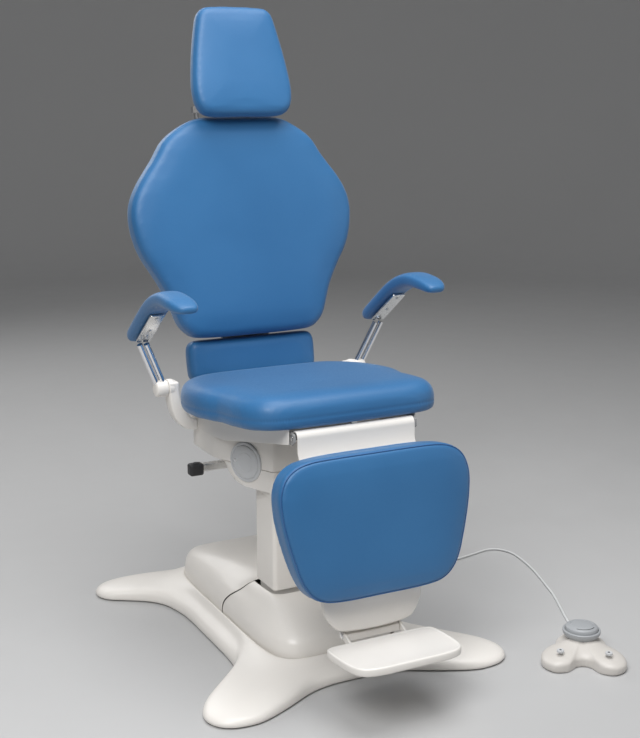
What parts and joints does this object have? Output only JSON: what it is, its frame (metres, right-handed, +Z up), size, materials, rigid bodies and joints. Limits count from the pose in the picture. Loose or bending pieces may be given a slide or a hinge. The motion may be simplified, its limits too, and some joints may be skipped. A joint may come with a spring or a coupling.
{
  "type": "medical exam table",
  "caption": "Powered examination chair on a telescoping column with a four-footed base, reclining back, leg rest, folding footplate, flip-up armrests and a corded foot control.",
  "frame": {"origin": "centre of the column axis at floor level, on the underside of the base plate", "axes": "+Z up along the column, -Y towards the front of the chair where the feet rest, +X towards the side where the foot control lies"},
  "size_m": [1.1595, 1.0427, 1.5031],
  "materials": {
    "upholstery": "blue synthetic leather, satin",
    "white_shell": "warm white moulded shell, satin",
    "painted_white": "warm white paint",
    "painted_grey": "light grey paint, hidden steelwork",
    "grey_plastic": "light grey moulding",
    "dark_plastic": "black moulding",
    "silver": "satin silver",
    "steel": "bare machined steel",
    "chrome": "polished",
    "cord_pvc": "light grey flexible sheath"
  },
  "bodies": {
    "base": {"base_plate": "painted_grey", "base_body": "painted_white", "base_front_cover": "white_shell", "base_rear_cover": "white_shell", "column_lower": "painted_white", "lift_actuator_body": "painted_grey", "cord_gland": "grey_plastic", "pedal_body": "white_shell", "pedal_collar": "grey_plastic", "foot_cord": "cord_pvc"},
    "mid_stage": {"column_middle": "painted_white"},
    "carriage": {"column_shroud": "painted_white", "lift_actuator_rod": "steel", "swivel_bearing": "steel"},
    "seat": {"chassis_frame": "painted_grey", "swivel_housing": "painted_white", "seat_skirt_L": "white_shell", "seat_skirt_R": "white_shell", "seat_pan": "painted_grey", "seat_cushion": "upholstery", "knee_bracket_L": "painted_grey", "knee_bracket_R": "painted_grey", "back_bracket_L": "painted_grey", "back_bracket_R": "painted_grey", "side_cap_L": "grey_plastic", "side_cap_R": "grey_plastic", "arm_casting_L": "painted_white", "arm_casting_R": "painted_white", "knee_pin": "steel", "back_pivot_pin": "steel"},
    "back": {"back_frame": "painted_grey", "back_shell": "white_shell", "back_cushion": "upholstery", "lumbar_cushion": "upholstery", "head_guide": "grey_plastic"},
    "head_slide": {"head_bars": "chrome", "head_hinge_pin": "chrome"},
    "head": {"head_shell": "white_shell", "head_cushion": "upholstery"},
    "leg": {"legrest_frame": "painted_grey", "knee_cover": "white_shell", "legrest_shell": "white_shell", "legrest_cushion": "upholstery", "footplate_bracket": "painted_white", "footplate_pin": "chrome"},
    "foot": {"footplate": "white_shell"},
    "arm_L": {"arm_hub_L": "painted_white", "arm_stem_L": "chrome", "arm_plate_L": "silver", "arm_pad_L": "upholstery"},
    "arm_R": {"arm_hub_R": "painted_white", "arm_stem_R": "chrome", "arm_plate_R": "silver", "arm_pad_R": "upholstery"},
    "brake": {"brake_lever": "silver", "brake_knob": "dark_plastic", "brake_pad": "dark_plastic"},
    "pedal_cap": {"pedal_dome": "grey_plastic"},
    "pedal_left": {"pedal_button_L": "grey_plastic"},
    "pedal_right": {"pedal_button_R": "grey_plastic"}
  },
  "joints": [
    {"name": "lift", "type": "slide", "parent": "base", "child": "carriage", "axis": [0, 0, 1], "range_m": [0, 0.25]},
    {"name": "mid_stage_slide", "type": "slide", "parent": "base", "child": "mid_stage", "axis": [0, 0, 1], "range_m": [0, 0.125]},
    {"name": "swivel", "type": "hinge", "parent": "carriage", "child": "seat", "pos_m": [0, 0, 0.4], "axis": [0, 0, 1], "range_deg": [-170, 170]},
    {"name": "recline", "type": "hinge", "parent": "seat", "child": "back", "pos_m": [0, 0.285, 0.545], "axis": [-1, 0, 0], "range_deg": [0, 78]},
    {"name": "head_height", "type": "slide", "parent": "back", "child": "head_slide", "axis": [0, 0.1736, 0.9848], "range_m": [0, 0.1]},
    {"name": "head_tilt", "type": "hinge", "parent": "head_slide", "child": "head", "pos_m": [0, 0.42532, 1.34447], "axis": [-1, 0, 0], "range_deg": [0, 40]},
    {"name": "leg_lift", "type": "hinge", "parent": "seat", "child": "leg", "pos_m": [0, -0.25, 0.585], "axis": [-1, 0, 0], "range_deg": [0, 82]},
    {"name": "footplate_fold", "type": "hinge", "parent": "leg", "child": "foot", "pos_m": [0, -0.332, 0.15], "axis": [-1, 0, 0], "range_deg": [0, 34]},
    {"name": "arm_lift_L", "type": "hinge", "parent": "seat", "child": "arm_L", "pos_m": [-0.27, 0.225, 0.605], "axis": [-1, 0, 0], "range_deg": [0, 50]},
    {"name": "arm_lift_R", "type": "hinge", "parent": "seat", "child": "arm_R", "pos_m": [0.27, 0.225, 0.605], "axis": [-1, 0, 0], "range_deg": [0, 50]},
    {"name": "brake_turn", "type": "hinge", "parent": "seat", "child": "brake", "pos_m": [-0.088, 0.129, 0.425], "axis": [0, 0, -1], "range_deg": [0, 20]},
    {"name": "pedal_cap_press", "type": "slide", "parent": "base", "child": "pedal_cap", "axis": [0, 0, -1], "range_m": [0, 0.003], "stiffness_N_per_m": 3000, "springref_m": -0.0003},
    {"name": "pedal_left_press", "type": "slide", "parent": "base", "child": "pedal_left", "axis": [0, 0, -1], "range_m": [0, 0.0025], "stiffness_N_per_m": 1200, "springref_m": -0.0003},
    {"name": "pedal_right_press", "type": "slide", "parent": "base", "child": "pedal_right", "axis": [0, 0, -1], "range_m": [0, 0.0025], "stiffness_N_per_m": 1200, "springref_m": -0.0003}
  ],
  "couplings": [
    {"joint": "mid_stage_slide", "follows": "lift", "ratio": 0.5}
  ]
}
